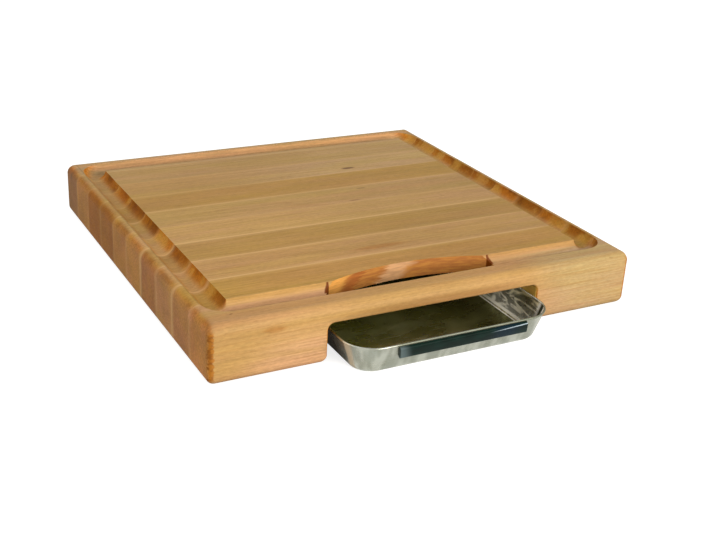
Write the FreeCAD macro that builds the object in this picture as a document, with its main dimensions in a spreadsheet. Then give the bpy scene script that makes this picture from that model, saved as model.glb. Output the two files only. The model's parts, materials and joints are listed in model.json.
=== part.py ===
import FreeCAD, Part
import math
import os
import Sketcher
from FreeCAD import Rotation, Vector

# Cutting board with a slide-out tray.
#
# Ten glued staves make a thick square board with a juice groove round its top. A channel is routed
# into the underside from the front edge, and a shallow steel tray stands in it and slides out
# towards the user. A bowed opening through the front of the board lets scraps fall into the tray.
#
# The board is drawn about the middle of its own footprint: +X to the right along the front edge,
# +Y to the back, +Z up, with the underside at Z = 0. Every sub-part is then placed a little
# further back, so the origin is the bottom centre of the whole object, drawn-out tray included.

doc = FreeCAD.newDocument("cutting_board")

# ---------------------------------------------------------------------------------------------
# Driving dimensions, in millimetres and degrees
# ---------------------------------------------------------------------------------------------

sheet = doc.addObject("Spreadsheet::Sheet", "Sizes")

SIZES = [
    # the board
    ("board_width", 457.2, "left to right"),
    ("board_depth", 457.2, "front to back"),
    ("board_thickness", 57.15, "underside to top"),
    ("stave_count", 10, "glued staves, front to back"),
    ("corner_radius", 6.35, "upright corners of the board"),
    ("top_round", 9.5, "round-over of the top edges"),
    ("bottom_round", 7.9, "round-over of the underside and of the channel's mouth"),
    # the juice groove
    ("groove_cutter_radius", 12.7, "round-nosed cutter"),
    ("groove_depth", 10.0, "below the top"),
    ("groove_side_margin", 22.9, "side edge of the board to the middle of the groove"),
    ("groove_front_margin", 36.1, "front edge of the board to the middle of the groove"),
    ("groove_back_margin", 27.6, "back edge of the board to the middle of the groove"),
    ("groove_turn_radius", 13.0, "path of the cutter round the corners"),
    # the channel that the tray slides in
    ("channel_width", 228.6, "between the two legs"),
    ("channel_depth", 304.8, "front edge to the end of the channel"),
    ("channel_roof", 17.45, "wood left above the channel"),
    ("channel_end_radius", 12.7, "plan corners at the closed end"),
    ("channel_roof_radius", 6.35, "hollow corner between the roof and the walls"),
    ("mouth_round", 2.5, "eased edge of the channel in the board's front"),
    # the scraping opening behind the front rim
    ("opening_span", 177.0, "chord of the bowed back wall"),
    ("opening_bow", 16.5, "rise of the bowed back wall"),
    ("opening_offset", -4.0, "middle of the opening from the middle of the board"),
    ("opening_end_flare", 40.0, "turn of the end walls away from straight ahead"),
    ("opening_end_set_in", 10.5, "ends of the bow behind the middle of the groove"),
    ("opening_lip", 0.4, "front wall past the groove's front edge"),
    # the tray
    ("tray_side_gap", 5.4, "between the rim and a leg, each side"),
    ("tray_end_gap", 1.0, "behind the tray when it is pushed home"),
    ("tray_top_gap", 9.5, "between the rim and the roof of the channel"),
    ("tray_pull", 42.65, "how far the tray stands out at rest"),
    ("tray_wall_lean", 10.0, "how much wider a wall is at the rim than at the bottom"),
    ("tray_corner_radius", 30.5, "outer plan corner at the rim"),
    ("tray_bottom_radius", 7.4, "outer radius between the walls and the bottom"),
    ("tray_sheet", 0.9, "thickness of the steel"),
    ("tray_bead_radius", 1.0, "rolled rim"),
    # the grip strip on the tray's front
    ("grip_length", 140.0, "left to right"),
    ("grip_height", 13.6, "along the leaning wall"),
    ("grip_thickness", 3.0, "proud of the wall"),
    ("grip_edge_radius", 2.2, "rounded front edges"),
    ("grip_drop", 0.8, "below the rolled rim"),
    ("grip_offset", 5.5, "middle of the strip from the middle of the tray"),
]

for row, (alias, value, note) in enumerate(SIZES, start=1):
    sheet.set(f"A{row}", alias.replace("_", " "))
    sheet.set(f"B{row}", str(value))
    sheet.set(f"C{row}", note)
    sheet.setAlias(f"B{row}", alias)
doc.recompute()


def size(alias):
    """A value of the sheet as a plain number."""
    return float(sheet.get(alias))


def formula(text):
    """An expression in which each name between braces is a cell of the sheet."""
    return text.replace("{", "Sizes.").replace("}", "")


# Formulas that several sub-parts share
STAVE_DEPTH = formula("({board_depth} / {stave_count})")
CHANNEL_HEIGHT = formula("({board_thickness} - {channel_roof})")
GROOVE_AXIS_Z = formula("({board_thickness} + {groove_cutter_radius} - {groove_depth})")
GROOVE_HALF_WIDTH = formula(
    "sqrt({groove_cutter_radius} ^ 2 - ({groove_cutter_radius} - {groove_depth}) ^ 2)")
GROOVE_FRONT_Y = formula("(-{board_depth} / 2 + {groove_front_margin})")

TRAY_HALF_WIDTH = formula("({channel_width} / 2 - {tray_side_gap})")
TRAY_HEIGHT = formula("({board_thickness} - {channel_roof} - {tray_top_gap})")
TRAY_FRONT_Y = formula("(-{board_depth} / 2 - {tray_pull})")
TRAY_LENGTH = formula("({channel_depth} - {tray_end_gap})")
WALL_TOP_Z = f"({TRAY_HEIGHT} - Sizes.tray_bead_radius)"
WALL_SET_IN = formula("({tray_bead_radius} - {tray_sheet} / 2)")
WALL_SLOPE = f"(Sizes.tray_wall_lean / {WALL_TOP_Z})"
WALL_ANGLE = f"atan({WALL_SLOPE})"

GRIP_TOP_Z = f"({TRAY_HEIGHT} - 2 * Sizes.tray_bead_radius - Sizes.grip_drop)"
GRIP_MIDDLE_Z = f"({GRIP_TOP_Z} - Sizes.grip_height / 2 * cos({WALL_ANGLE}))"
GRIP_BACK_Y = f"({TRAY_FRONT_Y} + {WALL_SET_IN} + ({WALL_TOP_Z} - {GRIP_MIDDLE_Z}) * {WALL_SLOPE})"
GRIP_FLAT = formula("({grip_height} / 2 - {grip_edge_radius})")
GRIP_REACH = (f"((Sizes.grip_thickness - Sizes.grip_edge_radius) * cos({WALL_ANGLE})"
              f" + {GRIP_FLAT} * sin({WALL_ANGLE}) + Sizes.grip_edge_radius)")

# Every sub-part is placed half the overhang of the tray, or of its grip, further back.
OVERHANG = f"max(Sizes.tray_pull; {GRIP_REACH} - {GRIP_BACK_Y} - Sizes.board_depth / 2)"
PLACE_BACK = f"({OVERHANG}) / 2"


# ---------------------------------------------------------------------------------------------
# Helpers
# ---------------------------------------------------------------------------------------------

def new_body(name):
    body = doc.addObject("PartDesign::Body", name)
    body.Label = name
    return body


def new_sketch(body, name, plane, height=None):
    """A sketch on one of the body's own origin planes, raised by an expression where one is given."""
    sketch = body.newObject("Sketcher::SketchObject", name)
    support = [f for f in body.Origin.OriginFeatures if f.Role == plane]
    sketch.AttachmentSupport = [(support[0], "")]
    sketch.MapMode = "FlatFace"
    if height:
        sketch.setExpression("AttachmentOffset.Base.z", height)
    return sketch


def drive(sketch, constraint, expression):
    """Adds a dimension to a sketch and ties it to the sheet."""
    index = sketch.addConstraint(constraint)
    sketch.setExpression(f"Constraints[{index}]", expression)


def draw_round_rectangle(sketch, left, right, front, back, radius):
    """A rectangle with four equal round corners; the five sizes are expressions."""
    x0, x1, y0, y1, r = -100.0, 100.0, -80.0, 80.0, 20.0
    sides = [
        (Vector(x0 + r, y0, 0), Vector(x1 - r, y0, 0)),
        (Vector(x1, y0 + r, 0), Vector(x1, y1 - r, 0)),
        (Vector(x1 - r, y1, 0), Vector(x0 + r, y1, 0)),
        (Vector(x0, y1 - r, 0), Vector(x0, y0 + r, 0)),
    ]
    corners = [
        (Vector(x1 - r, y0 + r, 0), -90),
        (Vector(x1 - r, y1 - r, 0), 0),
        (Vector(x0 + r, y1 - r, 0), 90),
        (Vector(x0 + r, y0 + r, 0), 180),
    ]
    for (start, end), (centre, angle) in zip(sides, corners):
        sketch.addGeometry(Part.LineSegment(start, end), False)
        turn = Part.Circle(centre, Vector(0, 0, 1), r)
        first = math.radians(angle)
        sketch.addGeometry(Part.ArcOfCircle(turn, first, first + math.pi / 2), False)
    for side in (0, 2, 4, 6):
        sketch.addConstraint(Sketcher.Constraint("Tangent", side, 2, side + 1, 1))
        sketch.addConstraint(Sketcher.Constraint("Tangent", side + 1, 2, (side + 2) % 8, 1))
    for side in (0, 4):
        sketch.addConstraint(Sketcher.Constraint("Horizontal", side))
    for side in (2, 6):
        sketch.addConstraint(Sketcher.Constraint("Vertical", side))
    for corner in (3, 5, 7):
        sketch.addConstraint(Sketcher.Constraint("Equal", 1, corner))
    drive(sketch, Sketcher.Constraint("Radius", 1, r), radius)
    drive(sketch, Sketcher.Constraint("DistanceX", -1, 1, 6, 1, x0), left)
    drive(sketch, Sketcher.Constraint("DistanceX", -1, 1, 2, 1, x1), right)
    drive(sketch, Sketcher.Constraint("DistanceY", -1, 1, 0, 1, y0), front)
    drive(sketch, Sketcher.Constraint("DistanceY", -1, 1, 4, 1, y1), back)


def level_edges(feature, z):
    """Names of the feature's edges that lie flat at one height."""
    names = []
    for number, edge in enumerate(feature.Shape.Edges, start=1):
        if all(abs(vertex.Z - z) < 1e-4 for vertex in edge.Vertexes) and edge.BoundBox.ZLength < 1e-4:
            names.append(f"Edge{number}")
    return names


def round_edges(body, base, name, names, radius):
    """Rounds the named edges of the body's last feature."""
    fillet = body.newObject("PartDesign::Fillet", name)
    fillet.Base = (base, names)
    fillet.setExpression("Radius", radius)
    doc.recompute()
    return fillet


# ---------------------------------------------------------------------------------------------
# The board as it is machined, in one piece
# ---------------------------------------------------------------------------------------------

board = new_body("board_blank")

outline = new_sketch(board, "board_outline", "XY_Plane")
draw_round_rectangle(
    outline,
    formula("-{board_width} / 2"), formula("{board_width} / 2"),
    formula("-{board_depth} / 2"), formula("{board_depth} / 2"),
    formula("{corner_radius}"))
slab = board.newObject("PartDesign::Pad", "slab")
slab.Profile = outline
slab.setExpression("Length", formula("{board_thickness}"))
doc.recompute()
top_rounded = round_edges(board, slab, "top_rounded", level_edges(slab, size("board_thickness")),
                          formula("{top_round}"))

# The channel: a pocket from the underside that runs out through the front edge.
channel_outline = new_sketch(board, "channel_outline", "XY_Plane")
draw_round_rectangle(
    channel_outline,
    formula("-{channel_width} / 2"), formula("{channel_width} / 2"),
    formula("-{board_depth} / 2 - 2 * {channel_end_radius}"),
    formula("-{board_depth} / 2 + {channel_depth}"),
    formula("{channel_end_radius}"))
channel = board.newObject("PartDesign::Pocket", "channel")
channel.Profile = channel_outline
channel.Reversed = True
channel.setExpression("Length", CHANNEL_HEIGHT)
doc.recompute()

board_front = -size("board_depth") / 2
roof_height = size("board_thickness") - size("channel_roof")
roof_edges = [name for name in level_edges(channel, roof_height)
              if channel.Shape.getElement(name).BoundBox.YMax > board_front + 1e-4]
channel_hollowed = round_edges(board, channel, "channel_hollowed", roof_edges,
                               formula("{channel_roof_radius}"))

mouth_edges = []
for number, edge in enumerate(channel_hollowed.Shape.Edges, start=1):
    box = edge.BoundBox
    on_front = box.YMax < board_front + 1e-4
    in_channel = box.XMin > -size("channel_width") / 2 - 1e-3 and box.XMax < size("channel_width") / 2 + 1e-3
    if on_front and in_channel:
        mouth_edges.append(f"Edge{number}")
mouth_eased = round_edges(board, channel_hollowed, "mouth_eased", mouth_edges,
                          formula("{mouth_round}"))
underside_rounded = round_edges(board, mouth_eased, "underside_rounded",
                                level_edges(mouth_eased, 0), formula("{bottom_round}"))

# The juice groove: a round-nosed cutter swept round the board, parallel to its edges.
groove_path = new_sketch(board, "groove_path", "XY_Plane", GROOVE_AXIS_Z)
draw_round_rectangle(
    groove_path,
    formula("-{board_width} / 2 + {groove_side_margin}"),
    formula("{board_width} / 2 - {groove_side_margin}"),
    GROOVE_FRONT_Y,
    formula("{board_depth} / 2 - {groove_back_margin}"),
    formula("{groove_turn_radius}"))
cutter = new_sketch(board, "groove_cutter", "YZ_Plane",
                    formula("-{board_width} / 2 + {groove_side_margin} + {groove_turn_radius}"))
cutter.addGeometry(Part.Circle(Vector(-190, 60, 0), Vector(0, 0, 1), 12), False)
drive(cutter, Sketcher.Constraint("Radius", 0, 12), formula("{groove_cutter_radius}"))
drive(cutter, Sketcher.Constraint("DistanceX", -1, 1, 0, 3, -190), GROOVE_FRONT_Y)
drive(cutter, Sketcher.Constraint("DistanceY", -1, 1, 0, 3, 60), GROOVE_AXIS_Z)
doc.recompute()
groove = board.newObject("PartDesign::SubtractivePipe", "juice_groove")
groove.Profile = cutter
groove.Spine = (groove_path, [f"Edge{number}" for number in range(1, 9)])
doc.recompute()

# The scraping opening: a shallow bow behind the front rim, with end walls that flare forwards.
opening_outline = new_sketch(board, "opening_outline", "XY_Plane")
bow_radius = formula("(({opening_span} / 2) ^ 2 + {opening_bow} ^ 2) / (2 * {opening_bow})")
bow_end_y = formula(f"({GROOVE_FRONT_Y} + {{opening_end_set_in}})")
front_wall_y = formula(f"({GROOVE_FRONT_Y} - {GROOVE_HALF_WIDTH} - {{opening_lip}})")
flare_reach = formula(f"({bow_end_y} - {front_wall_y}) * tan({{opening_end_flare}})")
right_x = formula("({opening_offset} + {opening_span} / 2)")
left_x = formula("({opening_offset} - {opening_span} / 2)")

bow_guess = Part.Arc(Vector(90, -183, 0), Vector(0, -165, 0), Vector(-90, -183, 0))
opening_outline.addGeometry(bow_guess, False)
opening_outline.addGeometry(Part.LineSegment(Vector(-90, -183, 0), Vector(-110, -205, 0)), False)
opening_outline.addGeometry(Part.LineSegment(Vector(-110, -205, 0), Vector(110, -205, 0)), False)
opening_outline.addGeometry(Part.LineSegment(Vector(110, -205, 0), Vector(90, -183, 0)), False)
for first, second in ((0, 1), (1, 2), (2, 3)):
    opening_outline.addConstraint(Sketcher.Constraint("Coincident", first, 2, second, 1))
opening_outline.addConstraint(Sketcher.Constraint("Coincident", 3, 2, 0, 1))
opening_outline.addConstraint(Sketcher.Constraint("Horizontal", 2))
drive(opening_outline, Sketcher.Constraint("DistanceX", -1, 1, 0, 1, 90), right_x)
drive(opening_outline, Sketcher.Constraint("DistanceX", -1, 1, 0, 2, -90), left_x)
drive(opening_outline, Sketcher.Constraint("DistanceY", -1, 1, 0, 1, -183), bow_end_y)
drive(opening_outline, Sketcher.Constraint("DistanceY", -1, 1, 0, 2, -183), bow_end_y)
drive(opening_outline, Sketcher.Constraint("Radius", 0, 230), bow_radius)
drive(opening_outline, Sketcher.Constraint("DistanceY", -1, 1, 2, 1, -205), front_wall_y)
drive(opening_outline, Sketcher.Constraint("DistanceX", -1, 1, 2, 1, -110), f"{left_x} - {flare_reach}")
drive(opening_outline, Sketcher.Constraint("DistanceX", -1, 1, 2, 2, 110), f"{right_x} + {flare_reach}")
opening = board.newObject("PartDesign::Pocket", "scraping_opening")
opening.Profile = opening_outline
opening.Type = "ThroughAll"
opening.Reversed = True
doc.recompute()

steps = [slab, top_rounded, channel, channel_hollowed, mouth_eased, underside_rounded, groove, opening]
for step in steps:
    print(f"{step.Label:20s} {step.Shape.Volume / 1000:10.3f} cm3")

# ---------------------------------------------------------------------------------------------
# The glued staves: the machined board, cut along its glue lines
# ---------------------------------------------------------------------------------------------

stave_count = int(size("stave_count"))
sub_parts = []


def stave_name(number):
    if number == 1:
        return "stave_01_front"
    if number == stave_count:
        return f"stave_{number:02d}_back"
    return f"stave_{number:02d}"


for number in range(1, stave_count + 1):
    name = stave_name(number)
    plank = doc.addObject("Part::Box", f"plank_{number:02d}")
    ends = [number == 1, number == stave_count]
    plank.setExpression("Length", formula("{board_width} + 2 * {corner_radius}"))
    plank.setExpression("Height", formula("{board_thickness} + 2 * {corner_radius}"))
    plank.setExpression("Width", f"{STAVE_DEPTH} + {sum(ends)} * Sizes.corner_radius")
    plank.setExpression("Placement.Base.x", formula("-{board_width} / 2 - {corner_radius}"))
    plank.setExpression("Placement.Base.y",
                        f"-Sizes.board_depth / 2 + {number - 1} * {STAVE_DEPTH}"
                        f" - {int(ends[0])} * Sizes.corner_radius")
    plank.setExpression("Placement.Base.z", formula("-{corner_radius}"))
    stave = doc.addObject("Part::Common", name)
    stave.Label = name
    stave.Base = board
    stave.Tool = plank
    stave.setExpression("Placement.Base.y", PLACE_BACK)
    sub_parts.append(stave)

# ---------------------------------------------------------------------------------------------
# The tray: pressed from one sheet, with leaning walls and a rolled rim
# ---------------------------------------------------------------------------------------------

tray = new_body("tray")
BEAD_SIDES = 8


def draw_tray_outline(name, height, set_in):
    """The tray's plan at one height, a given distance inside its rim."""
    sketch = new_sketch(tray, name, "XY_Plane", height)
    draw_round_rectangle(
        sketch,
        f"-{TRAY_HALF_WIDTH} + {set_in}", f"{TRAY_HALF_WIDTH} - {set_in}",
        f"{TRAY_FRONT_Y} + {set_in}", f"{TRAY_FRONT_Y} + {TRAY_LENGTH} - {set_in}",
        f"Sizes.tray_corner_radius - {set_in}")
    return sketch


tray_foot = draw_tray_outline("tray_foot", None, f"({WALL_SET_IN} + Sizes.tray_wall_lean)")
tray_brim = draw_tray_outline("tray_brim", WALL_TOP_Z, WALL_SET_IN)
block = tray.newObject("PartDesign::AdditiveLoft", "tray_block")
block.Profile = tray_brim
block.Sections = [tray_foot]
block.Ruled = True
doc.recompute()
wall_skin = f"(Sizes.tray_sheet / cos({WALL_ANGLE}))"
foot_lean = f"(Sizes.tray_wall_lean * (1 - Sizes.tray_sheet / {WALL_TOP_Z}))"
inner_foot = draw_tray_outline("inner_foot", formula("{tray_sheet}"),
                               f"({WALL_SET_IN} + {foot_lean} + {wall_skin})")
inner_brim = draw_tray_outline("inner_brim", WALL_TOP_Z, f"({WALL_SET_IN} + {wall_skin})")
hollow = tray.newObject("PartDesign::SubtractiveLoft", "tray_hollow")
hollow.Profile = inner_brim
hollow.Sections = [inner_foot]
hollow.Ruled = True
doc.recompute()
inside_rounded = round_edges(tray, hollow, "tray_inside_rounded",
                             level_edges(hollow, size("tray_sheet")),
                             formula("{tray_bottom_radius} - {tray_sheet}"))
outside_rounded = round_edges(tray, inside_rounded, "tray_outside_rounded",
                              level_edges(inside_rounded, 0), formula("{tray_bottom_radius}"))



def draw_bead(sketch):
    """The rolled rim's section: flats round a circle, which mesh far more lightly than a tube."""
    radius = size("tray_bead_radius")
    middle = Vector(-size("board_depth") / 2 - size("tray_pull") + radius,
                    size("board_thickness") - size("channel_roof") - size("tray_top_gap") - radius, 0)
    half_side = math.pi / BEAD_SIDES
    reach = radius / math.cos(half_side)
    corners = [middle + Vector(math.cos(turn), math.sin(turn), 0) * reach
               for turn in ((2 * side - 1) * half_side for side in range(BEAD_SIDES + 1))]
    for start, end in zip(corners, corners[1:]):
        sketch.addGeometry(Part.LineSegment(start, end), False)
    ring = sketch.addGeometry(Part.Circle(middle, Vector(0, 0, 1), reach), True)
    for side in range(BEAD_SIDES):
        sketch.addConstraint(Sketcher.Constraint("Coincident", side, 2, (side + 1) % BEAD_SIDES, 1))
        sketch.addConstraint(Sketcher.Constraint("PointOnObject", side, 1, ring))
    for side in range(1, BEAD_SIDES):
        sketch.addConstraint(Sketcher.Constraint("Equal", 0, side))
    sketch.addConstraint(Sketcher.Constraint("Vertical", 0))
    drive(sketch, Sketcher.Constraint("Radius", ring, reach),
          f"Sizes.tray_bead_radius / cos({180 / BEAD_SIDES})")
    drive(sketch, Sketcher.Constraint("DistanceX", -1, 1, ring, 3, middle.x),
          f"{TRAY_FRONT_Y} + Sizes.tray_bead_radius")
    drive(sketch, Sketcher.Constraint("DistanceY", -1, 1, ring, 3, middle.y), WALL_TOP_Z)


bead_path = draw_tray_outline("bead_path", WALL_TOP_Z, "Sizes.tray_bead_radius")
bead_section = new_sketch(tray, "bead_section", "YZ_Plane",
                          f"-{TRAY_HALF_WIDTH} + Sizes.tray_corner_radius")
draw_bead(bead_section)
doc.recompute()
bead = tray.newObject("PartDesign::AdditivePipe", "rolled_rim")
bead.Profile = bead_section
bead.Spine = (bead_path, [f"Edge{number}" for number in range(1, 9)])
tray.setExpression("Placement.Base.y", PLACE_BACK)
doc.recompute()
sub_parts.append(tray)

# ---------------------------------------------------------------------------------------------
# The grip strip, stuck on the leaning front wall just below the rim
# ---------------------------------------------------------------------------------------------

grip = new_body("grip_strip")
grip_section = new_sketch(grip, "grip_section", "XZ_Plane")
grip_section.addGeometry(Part.LineSegment(Vector(-70, -7, 0), Vector(70, -7, 0)), False)
grip_section.addGeometry(Part.LineSegment(Vector(70, -7, 0), Vector(70, 7, 0)), False)
grip_section.addGeometry(Part.LineSegment(Vector(70, 7, 0), Vector(-70, 7, 0)), False)
grip_section.addGeometry(Part.LineSegment(Vector(-70, 7, 0), Vector(-70, -7, 0)), False)
for side in range(4):
    grip_section.addConstraint(Sketcher.Constraint("Coincident", side, 2, (side + 1) % 4, 1))
    direction = "Horizontal" if side % 2 == 0 else "Vertical"
    grip_section.addConstraint(Sketcher.Constraint(direction, side))
grip_section.addConstraint(Sketcher.Constraint("Symmetric", 0, 1, 1, 2, -1, 1))
drive(grip_section, Sketcher.Constraint("DistanceX", 0, 1, 0, 2, 140), formula("{grip_length}"))
drive(grip_section, Sketcher.Constraint("DistanceY", 1, 1, 1, 2, 14), formula("{grip_height}"))
strip = grip.newObject("PartDesign::Pad", "strip")
strip.Profile = grip_section
strip.setExpression("Length", formula("{grip_thickness}"))
doc.recompute()
strip_front = strip.Shape.BoundBox.YMin
front_face = [f"Face{number}" for number, face in enumerate(strip.Shape.Faces, start=1)
              if face.BoundBox.YMax < strip_front + 1e-4]
round_edges(grip, strip, "strip_rounded", front_face, formula("{grip_edge_radius}"))

grip.setExpression("Placement.Base.x", formula("{grip_offset}"))
grip.setExpression("Placement.Base.y", f"{GRIP_BACK_Y} + {PLACE_BACK}")
grip.setExpression("Placement.Base.z", GRIP_MIDDLE_Z)
grip.Placement.Rotation = Rotation(Vector(1, 0, 0), 1)
grip.setExpression("Placement.Rotation.Angle", WALL_ANGLE)
sub_parts.append(grip)
doc.recompute()

# ---------------------------------------------------------------------------------------------
# Check every object, then write the sub-parts
# ---------------------------------------------------------------------------------------------

for item in doc.Objects:
    if "Invalid" in item.State or "Error" in item.State:
        raise RuntimeError(f"{item.Label} failed to compute: {item.State}")

os.makedirs("parts", exist_ok=True)
for item in sub_parts:
    shape = item.Shape
    if shape.isNull() or not shape.isValid() or len(shape.Solids) != 1:
        raise RuntimeError(f"{item.Label} is not one sound solid")
    shape.exportStep(f"parts/{item.Label}.step")
    box = shape.BoundBox
    print(f"{item.Label:16s} {shape.Volume / 1000:9.3f} cm3"
          f"  x {box.XMin:8.2f} {box.XMax:8.2f}  y {box.YMin:8.2f} {box.YMax:8.2f}"
          f"  z {box.ZMin:6.2f} {box.ZMax:6.2f}  {len(shape.Faces)} faces")
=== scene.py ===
# %% [markdown]
# A butcher's cutting board with a steel tray that slides out of its front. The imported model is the
# fixed frame: ten maple staves that stay where they are, and the place of the tray and its grip.
# The scene gives the wood its grain, makes a finer tray and grip by hand, and lights the object.
# Blender may open with objects of its own, so the scene is emptied before the frame is loaded.

import json
import math

import bpy
from mathutils import Matrix, Vector

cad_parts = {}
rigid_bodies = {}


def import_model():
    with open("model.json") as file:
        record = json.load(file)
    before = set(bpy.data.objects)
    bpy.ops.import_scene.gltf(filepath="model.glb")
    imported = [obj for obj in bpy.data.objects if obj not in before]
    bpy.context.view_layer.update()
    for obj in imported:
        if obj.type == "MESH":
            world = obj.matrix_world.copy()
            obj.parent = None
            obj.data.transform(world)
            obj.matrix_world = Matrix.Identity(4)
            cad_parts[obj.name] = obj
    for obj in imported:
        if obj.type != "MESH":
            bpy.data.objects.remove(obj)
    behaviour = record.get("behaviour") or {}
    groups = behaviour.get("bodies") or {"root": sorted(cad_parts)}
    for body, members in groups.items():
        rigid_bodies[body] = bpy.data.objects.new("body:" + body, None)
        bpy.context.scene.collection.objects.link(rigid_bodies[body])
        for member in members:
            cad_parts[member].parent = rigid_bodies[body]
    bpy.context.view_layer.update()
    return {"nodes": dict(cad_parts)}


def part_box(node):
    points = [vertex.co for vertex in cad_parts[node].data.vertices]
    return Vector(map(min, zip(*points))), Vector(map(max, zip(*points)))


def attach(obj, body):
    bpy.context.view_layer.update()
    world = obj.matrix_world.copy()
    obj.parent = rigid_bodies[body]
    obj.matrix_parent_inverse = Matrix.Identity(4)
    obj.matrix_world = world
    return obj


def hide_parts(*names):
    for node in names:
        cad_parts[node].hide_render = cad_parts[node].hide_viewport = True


bpy.ops.object.select_all(action="SELECT")
bpy.ops.object.delete()
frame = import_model()

# %% [markdown]
# Every wood, steel and plastic below is a tree of shader nodes. Adding the nodes one by one takes
# many lines, so a few helpers add a node, plug values or other nodes into it, and hand back its
# output. The same trees could be drawn in the shader editor; written out, they can be read.

# %% Helpers for shader trees


def plug_in(tree, socket, value):
    """Links another node's output to a socket, or sets the socket's own value."""
    if isinstance(value, bpy.types.NodeSocket):
        tree.links.new(value, socket)
    else:
        socket.default_value = value


def add_node(tree, kind, plugs=None, **settings):
    """Adds a shader node, sets its options and fills its sockets."""
    node = tree.nodes.new(kind)
    for option, value in settings.items():
        setattr(node, option, value)
    for key, value in (plugs or {}).items():
        plug_in(tree, node.inputs[key], value)
    return node


def calculate(tree, operation, first, second=0.0, third=0.0):
    """One step of arithmetic on numbers or on other nodes' outputs."""
    node = add_node(tree, "ShaderNodeMath", {0: first, 1: second, 2: third}, operation=operation)
    return node.outputs[0]


def product(tree, first, *others):
    """The product of two or more values."""
    for other in others:
        first = calculate(tree, "MULTIPLY", first, other)
    return first


def strongest(tree, first, *others):
    """The largest of two or more values."""
    for other in others:
        first = calculate(tree, "MAXIMUM", first, other)
    return first


def smooth_step(tree, value, start, end, low=0.0, high=1.0):
    """Runs smoothly from low to high as the value goes from start to end."""
    plugs = {"Value": value, "From Min": start, "From Max": end, "To Min": low, "To Max": high}
    node = add_node(tree, "ShaderNodeMapRange", plugs, interpolation_type="SMOOTHSTEP")
    return node.outputs["Result"]


def band(tree, value, middle, inner, outer):
    """1 within an inner distance of a middle value, falling to 0 at the outer distance."""
    away = calculate(tree, "ABSOLUTE", calculate(tree, "SUBTRACT", value, middle))
    return smooth_step(tree, away, outer, inner)


def stretched_noise(tree, place, stretch, detail=2.0, roughness=0.5):
    """Noise whose spots are long where the stretch, in cycles per metre, is small."""
    scaled = add_node(tree, "ShaderNodeVectorMath", {0: place, 1: stretch}, operation="MULTIPLY")
    plugs = {"Vector": scaled.outputs[0], "Scale": 1.0, "Detail": detail, "Roughness": roughness}
    return add_node(tree, "ShaderNodeTexNoise", plugs).outputs["Fac"]


def mix_colours(tree, share, first, second, blend="MIX"):
    """Mixes or blends two colours by a share from 0 to 1."""
    node = add_node(tree, "ShaderNodeMix", data_type="RGBA", blend_type=blend)
    for number, value in ((0, share), (6, first), (7, second)):
        plug_in(tree, node.inputs[number], value)
    return node.outputs[2]


def new_material(name):
    """A material with one Principled shader; returns (material, its tree, the shader)."""
    material = bpy.data.materials.new(name)
    material.use_nodes = True
    tree = material.node_tree
    tree.nodes.clear()
    shader = add_node(tree, "ShaderNodeBsdfPrincipled")
    surface = {"Surface": shader.outputs["BSDF"]}
    add_node(tree, "ShaderNodeOutputMaterial", surface)
    return material, tree, shader


def colour(red, green, blue):
    """Turns a screen colour, 0 to 255, into the straight light values that a shader works with."""
    parts = [part / 255 for part in (red, green, blue)]
    straight = [p / 12.92 if p <= 0.04045 else ((p + 0.055) / 1.055) ** 2.4 for p in parts]
    return (*straight, 1.0)


print("helpers ready")

# %% [markdown]
# Maple is cut along its trunk, so one solid pattern explains every face. Growth rings are tubes
# about the heart of the tree. Along a stave they show as long quiet lines, and across its ends as
# arcs, which drink more oil and turn darker and redder. A picture wrapped round each stave would
# break at the edges, so the rings, the fibres and the flecks are worked out in space instead.

# %% Growth rings
# Blender's wave texture moves on by 20 radians for each unit of scaled length.
WAVE_RADIANS = 20


def ring_lines(tree, place, heart_y, heart_z, ring_width, run_out):
    """Growth rings about a heart line that runs along the stave: 0 in a ring, 1 at its dark edge."""
    warp = add_node(tree, "ShaderNodeVectorMath", {0: place, 1: (4.5, 14, 14)}, operation="MULTIPLY")
    wander = add_node(tree, "ShaderNodeTexNoise", {"Vector": warp.outputs[0], "Scale": 1.0, "Detail": 1.5})
    centred = add_node(tree, "ShaderNodeVectorMath", {0: wander.outputs["Color"], 1: (0.5, 0.5, 0.5)},
                       operation="SUBTRACT")
    shaken = add_node(tree, "ShaderNodeVectorMath", {0: centred.outputs[0], 1: (0.0, 0.012, 0.012), 2: place},
                      operation="MULTIPLY_ADD")
    turned = add_node(tree, "ShaderNodeMapping", {"Vector": shaken.outputs[0],
                      "Location": (0.0, -heart_y, -heart_z), "Rotation": (0.0, run_out, run_out * 0.6)})
    plugs = {"Vector": turned.outputs[0], "Scale": math.tau / (WAVE_RADIANS * ring_width), "Distortion": 0.0}
    wave = add_node(tree, "ShaderNodeTexWave", plugs, wave_type="RINGS", rings_direction="X",
                    wave_profile="SAW")
    rising = calculate(tree, "POWER", wave.outputs["Fac"], 3.0)
    return product(tree, rising, smooth_step(tree, wave.outputs["Fac"], 1.0, 0.93))


print("ring pattern ready")

# %% [markdown]
# Two more patterns serve all the staves. An oval spot that fades towards its rim can darken,
# lighten or redden one place: a pin knot, a streak, a dusky end. And beside each glue joint the
# wood looks paler, in a thin line with a soft halo. The joints are tight, so the line is coloured
# into the wood; a gap cut between the staves would be far too wide.

# %% Spots and glue lines
STAVE_DEPTH = 0.04572
JOINT_HALO = 0.0080
LONG_LINE = 0.0019
END_LINE = 0.0048
JOINT_LIGHT = colour(206, 165, 108)


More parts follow.
